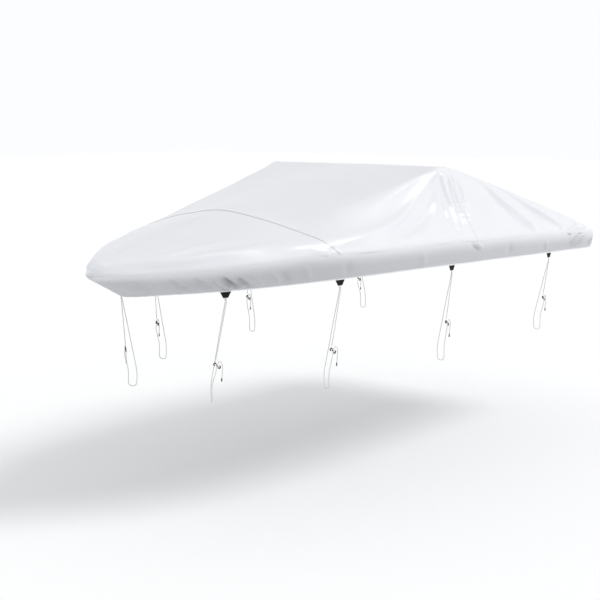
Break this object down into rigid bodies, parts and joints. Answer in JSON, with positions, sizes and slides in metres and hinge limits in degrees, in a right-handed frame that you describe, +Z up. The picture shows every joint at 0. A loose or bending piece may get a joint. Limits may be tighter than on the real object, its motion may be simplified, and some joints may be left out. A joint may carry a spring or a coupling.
{
  "type": "boat cover",
  "caption": "Fitted cloth cover for a small motorboat: arched foredeck panel, peaked middle, sloping aft panel, hanging skirt, and webbing tabs with tie ropes and cleats under the hem.",
  "frame": {"origin": "on the inner face of the cloth, under the middle of the straight top edge, where the support that is left out carries the cover", "axes": "+X aft, towards the stern; -Y to port; +Z up"},
  "size_m": [5.15, 2.1283, 1.5052],
  "materials": {
    "cover_cloth": "silver-white coated polyester with a satin sheen",
    "skirt_cloth": "the same coated polyester, hanging plumb",
    "black_webbing": "ribbed black webbing",
    "white_rope": "braided white rope",
    "black_plastic": "moulded black plastic"
  },
  "bodies": {
    "root": {"bow_panel": "cover_cloth", "middle_panel": "cover_cloth", "aft_panel": "cover_cloth", "skirt_port": "skirt_cloth", "skirt_starboard": "skirt_cloth", "skirt_transom": "skirt_cloth", "tab_bow_port": "black_webbing", "knot_bow_port": "white_rope", "long_rope_bow_port": "white_rope", "short_rope_bow_port": "white_rope", "cleat_bow_port": "black_plastic", "rope_end_bow_port": "black_plastic", "tab_bow_starboard": "black_webbing", "knot_bow_starboard": "white_rope", "long_rope_bow_starboard": "white_rope", "short_rope_bow_starboard": "white_rope", "cleat_bow_starboard": "black_plastic", "rope_end_bow_starboard": "black_plastic", "tab_fore_port": "black_webbing", "knot_fore_port": "white_rope", "long_rope_fore_port": "white_rope", "short_rope_fore_port": "white_rope", "cleat_fore_port": "black_plastic", "rope_end_fore_port": "black_plastic", "tab_fore_starboard": "black_webbing", "knot_fore_starboard": "white_rope", "long_rope_fore_starboard": "white_rope", "short_rope_fore_starboard": "white_rope", "cleat_fore_starboard": "black_plastic", "rope_end_fore_starboard": "black_plastic", "tab_mid_port": "black_webbing", "knot_mid_port": "white_rope", "long_rope_mid_port": "white_rope", "short_rope_mid_port": "white_rope", "cleat_mid_port": "black_plastic", "rope_end_mid_port": "black_plastic", "tab_mid_starboard": "black_webbing", "knot_mid_starboard": "white_rope", "long_rope_mid_starboard": "white_rope", "short_rope_mid_starboard": "white_rope", "cleat_mid_starboard": "black_plastic", "rope_end_mid_starboard": "black_plastic", "tab_aft_port": "black_webbing", "knot_aft_port": "white_rope", "long_rope_aft_port": "white_rope", "short_rope_aft_port": "white_rope", "cleat_aft_port": "black_plastic", "rope_end_aft_port": "black_plastic", "tab_aft_starboard": "black_webbing", "knot_aft_starboard": "white_rope", "long_rope_aft_starboard": "white_rope", "short_rope_aft_starboard": "white_rope", "cleat_aft_starboard": "black_plastic", "rope_end_aft_starboard": "black_plastic"}
  },
  "joints": []
}
